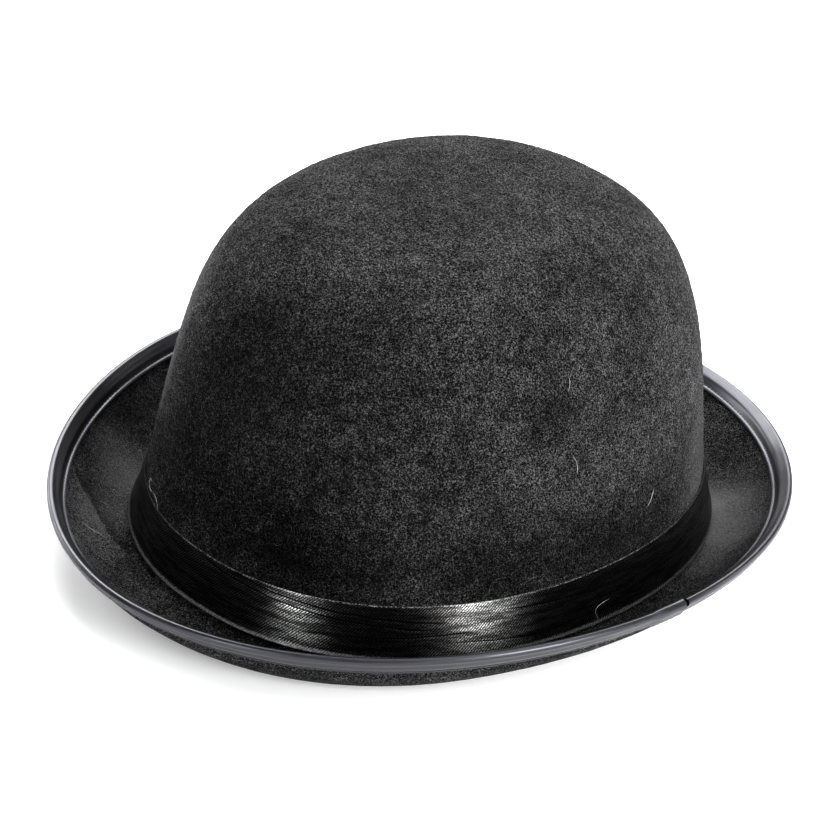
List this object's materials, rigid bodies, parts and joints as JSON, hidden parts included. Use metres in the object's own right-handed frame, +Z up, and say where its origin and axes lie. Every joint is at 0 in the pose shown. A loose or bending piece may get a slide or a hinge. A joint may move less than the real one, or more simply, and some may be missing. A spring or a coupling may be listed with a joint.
{
  "type": "bowler hat",
  "caption": "Stiff round-crowned felt hat with a curled brim, satin ribbon band with a flat side bow, wired and taped brim edge and inner sweatband.",
  "frame": {"origin": "middle of the head opening, on the plane the brim's under face rests on", "axes": "+Z up through the crown, -Y towards the front of the hat, +X towards the wearer's left, where the bow is"},
  "size_m": [0.2433, 0.2886, 0.1318],
  "materials": {
    "felt": "matte black pressed felt with a short nap",
    "satin": "glossy black satin ribbon",
    "edge_tape": "glossy black coated tape",
    "thread": "black sewing thread",
    "wire": "drawn spring wire",
    "sleeve": "crimped sleeve",
    "sweatband": "woven black head tape",
    "label": "blank woven label"
  },
  "bodies": {
    "root": {"felt_body": "felt", "hat_band": "satin", "band_bow": "satin", "bow_keeper": "satin", "bow_tacks": "thread", "brim_binding": "edge_tape", "binding_needle_thread": "thread", "binding_bobbin_thread": "thread", "brim_wire": "wire", "brim_wire_sleeve": "sleeve", "sweatband": "sweatband", "sweatband_thread": "thread", "size_label": "label"}
  },
  "joints": []
}
